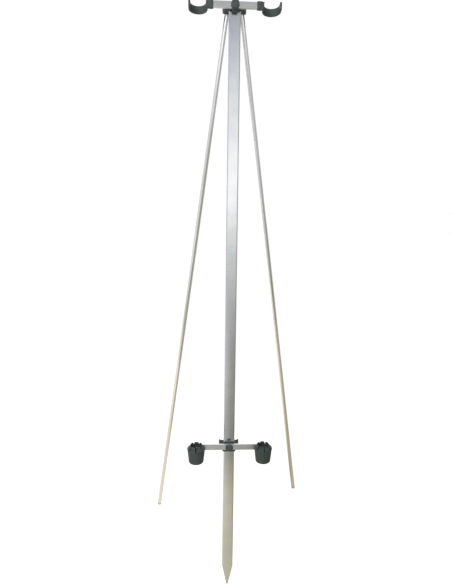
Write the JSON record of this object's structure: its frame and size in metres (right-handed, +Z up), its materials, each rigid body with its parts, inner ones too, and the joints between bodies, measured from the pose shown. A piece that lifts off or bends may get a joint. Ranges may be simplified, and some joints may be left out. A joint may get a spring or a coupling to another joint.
{
  "type": "surf rod tripod",
  "caption": "Folding surf rod tripod: a pointed flat main leg, round rear legs, an upper bar with U-shaped rod rests and a sliding lower bar with butt cups.",
  "frame": {"origin": "on the ground, below the middle of the object's bounding box", "axes": "+Z up from the ground, -Y to the front where the rods lie, +X to the right of someone who looks at the front"},
  "size_m": [0.4916, 0.3694, 1.5038],
  "materials": {
    "satin_aluminium": "satin anodised",
    "polished_aluminium": "polished",
    "dark_plastic": "fine matt",
    "zinc_steel": "zinc plated",
    "black_steel": "black oxide"
  },
  "bodies": {
    "frame": {"main_leg": "satin_aluminium", "head": "dark_plastic", "head_rivet": "polished_aluminium", "upper_nut": "zinc_steel", "pivot_bolt_left": "black_steel", "pivot_bolt_right": "black_steel", "pivot_nut_left": "black_steel", "pivot_nut_right": "black_steel"},
    "left_leg": {"rear_leg_left": "polished_aluminium", "foot_plug_left": "dark_plastic"},
    "right_leg": {"rear_leg_right": "polished_aluminium", "foot_plug_right": "dark_plastic"},
    "upper_bar": {"upper_crossbar": "satin_aluminium", "rod_rest_left": "dark_plastic", "rod_rest_right": "dark_plastic", "rest_screw_left": "zinc_steel", "rest_screw_right": "zinc_steel"},
    "upper_washer": {"upper_washer": "dark_plastic"},
    "upper_knob": {"upper_knob": "dark_plastic", "upper_stud": "zinc_steel"},
    "collar": {"slider_collar": "dark_plastic", "collar_nut": "zinc_steel"},
    "lower_bar": {"lower_crossbar": "satin_aluminium", "butt_cup_left": "dark_plastic", "butt_cup_right": "dark_plastic", "cup_screw_left": "zinc_steel", "cup_screw_right": "zinc_steel", "cup_nut_left": "zinc_steel", "cup_nut_right": "zinc_steel"},
    "lower_washer": {"lower_washer": "zinc_steel"},
    "lower_knob": {"lower_knob": "dark_plastic", "lower_stud": "zinc_steel"}
  },
  "joints": [
    {"name": "left_leg_spread", "type": "hinge", "parent": "frame", "child": "left_leg", "pos_m": [-0.00825, 0.05884, 1.48061], "axis": [0.8143, 0.5712, -0.1029], "range_deg": [-13.6, 12]},
    {"name": "right_leg_spread", "type": "hinge", "parent": "frame", "child": "right_leg", "pos_m": [0.02675, 0.05884, 1.47994], "axis": [0.8177, -0.5712, 0.0717], "range_deg": [-16.2, 9.4]},
    {"name": "upper_bar_tilt", "type": "hinge", "parent": "frame", "child": "upper_bar", "pos_m": [0.00934, 0.02795, 1.485], "axis": [0.0029, -0.9885, 0.151], "range_deg": [-55, 55]},
    {"name": "upper_washer_release", "type": "slide", "parent": "frame", "child": "upper_washer", "axis": [0.0029, -0.9885, 0.151], "range_m": [0, 0.002]},
    {"name": "upper_knob_turn", "type": "hinge", "parent": "upper_washer", "child": "upper_knob", "pos_m": [0.00934, 0.02795, 1.485], "axis": [0.0029, -0.9885, 0.151], "range_deg": [0, 720]},
    {"name": "collar_slide", "type": "slide", "parent": "frame", "child": "collar", "axis": [0.0189, 0.1511, 0.9883], "range_m": [-0.3, 0.8]},
    {"name": "lower_bar_tilt", "type": "hinge", "parent": "collar", "child": "lower_bar", "pos_m": [-0.01117, -0.13606, 0.41195], "axis": [0.0029, -0.9885, 0.151], "range_deg": [-90, 90]},
    {"name": "lower_washer_release", "type": "slide", "parent": "collar", "child": "lower_washer", "axis": [0.0029, -0.9885, 0.151], "range_m": [0, 0.002]},
    {"name": "lower_knob_turn", "type": "hinge", "parent": "lower_washer", "child": "lower_knob", "pos_m": [-0.01117, -0.13606, 0.41195], "axis": [0.0029, -0.9885, 0.151], "range_deg": [0, 720]}
  ],
  "couplings": [
    {"joint": "upper_washer_release", "follows": "upper_knob_turn", "m_per_rad": 0.00015915},
    {"joint": "lower_washer_release", "follows": "lower_knob_turn", "m_per_rad": 0.00015915}
  ]
}
